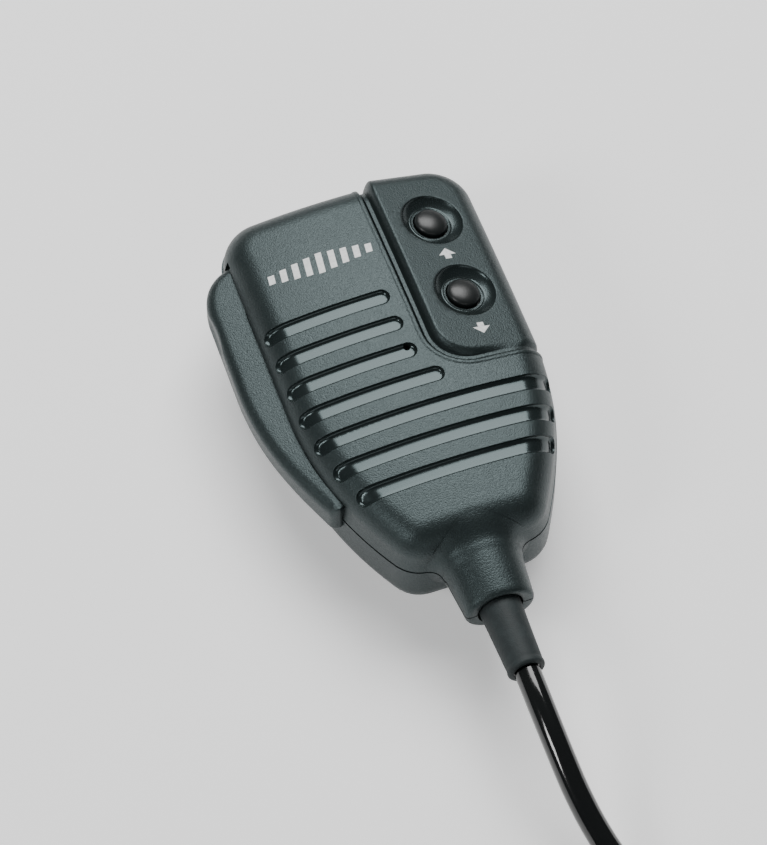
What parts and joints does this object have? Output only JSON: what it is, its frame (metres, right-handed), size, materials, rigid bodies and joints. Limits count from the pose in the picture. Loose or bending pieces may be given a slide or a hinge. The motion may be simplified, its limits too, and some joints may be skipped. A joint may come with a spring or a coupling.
{
  "type": "hand microphone with push-to-talk lever",
  "caption": "Hand-held radio microphone: grooved two-piece case, long side push-to-talk lever, tilted button panel, hang-up stud, curly cord and round screw-on plug.",
  "frame": {"origin": "middle of the hang-up stud's outer face, which lies on the surface", "axes": "+X to the right of the microphone seen from its front, +Y towards its top, +Z out of its front face"},
  "size_m": [0.0678, 0.3883, 0.0358],
  "materials": {
    "case_plastic": "fine-grained, slightly glossy",
    "key_plastic": "smooth, semi-gloss",
    "cord_rubber": "matte",
    "cord_jacket": "glossy",
    "steel": "zinc plated",
    "brass": "bare",
    "chrome": "polished",
    "board": "solder mask over laminate",
    "felt": "open felt",
    "lead_red": "insulated wire",
    "lead_white": "insulated wire",
    "lead_black": "insulated wire",
    "lead_blue": "insulated wire"
  },
  "bodies": {
    "microphone": {"front_shell": "case_plastic", "rear_cover": "case_plastic", "button_panel": "case_plastic", "hanger_stud": "case_plastic", "up_switch": "key_plastic", "down_switch": "key_plastic", "ptt_switch": "key_plastic", "plug_insert": "key_plastic", "strain_relief": "cord_rubber", "capsule_boot": "cord_rubber", "plug_boot": "cord_rubber", "inner_cord": "cord_jacket", "cord_mic_tail": "cord_jacket", "cord_curl": "cord_jacket", "cord_plug_tail": "cord_jacket", "button_board_screw_1": "steel", "button_board_screw_2": "steel", "ptt_pivot_pin": "steel", "ptt_return_spring": "steel", "board_screw_1": "steel", "board_screw_2": "steel", "mic_capsule": "steel", "stud_washer": "steel", "stud_screw": "steel", "case_screw_1": "steel", "case_screw_2": "steel", "case_screw_3": "steel", "case_screw_4": "steel", "cord_clamp": "steel", "clamp_screw_1": "steel", "clamp_screw_2": "steel", "plug_screw_1": "steel", "plug_screw_2": "steel", "plug_contact_1": "brass", "plug_contact_2": "brass", "plug_contact_3": "brass", "plug_contact_4": "brass", "plug_body": "chrome", "circuit_board": "board", "button_board": "board", "dust_felt": "felt", "lead_1": "lead_red", "lead_2": "lead_white", "lead_3": "lead_black", "lead_4": "lead_blue", "capsule_lead_1": "lead_red", "capsule_lead_2": "lead_white", "board_jumper_1": "lead_blue", "board_jumper_2": "lead_black", "board_jumper_3": "lead_white"},
    "ptt": {"ptt_lever": "case_plastic"},
    "ptt_plunger": {"ptt_switch_plunger": "steel"},
    "up_key": {"up_button": "key_plastic", "up_switch_plunger": "steel"},
    "down_key": {"down_button": "key_plastic", "down_switch_plunger": "steel"},
    "coupling_ring": {"plug_coupling_ring": "chrome"}
  },
  "joints": [
    {"name": "push_to_talk", "type": "hinge", "parent": "microphone", "child": "ptt", "pos_m": [-0.0217, -0.0315, 0.0222], "axis": [0, 0, -1], "range_deg": [0, 2.2], "stiffness_Nm_per_rad": 1.6, "springref_deg": -2.86, "deforming": ["ptt_return_spring"]},
    {"name": "ptt_plunger_slide", "type": "slide", "parent": "microphone", "child": "ptt_plunger", "axis": [1, 0, 0], "range_m": [0, 0.0018]},
    {"name": "up_button_press", "type": "slide", "parent": "microphone", "child": "up_key", "axis": [-0.2604, -0.0476, -0.9643], "range_m": [0, 0.0009], "stiffness_N_per_m": 700, "springref_m": -0.0005},
    {"name": "down_button_press", "type": "slide", "parent": "microphone", "child": "down_key", "axis": [-0.2604, -0.0476, -0.9643], "range_m": [0, 0.0009], "stiffness_N_per_m": 700, "springref_m": -0.0005},
    {"name": "coupling_ring_turn", "type": "hinge", "parent": "microphone", "child": "coupling_ring", "pos_m": [-0.02, -0.1395, 0.0093], "axis": [0, 1, 0], "continuous": true}
  ],
  "couplings": [
    {"joint": "ptt_plunger_slide", "follows": "push_to_talk", "m_per_rad": 0.044}
  ]
}
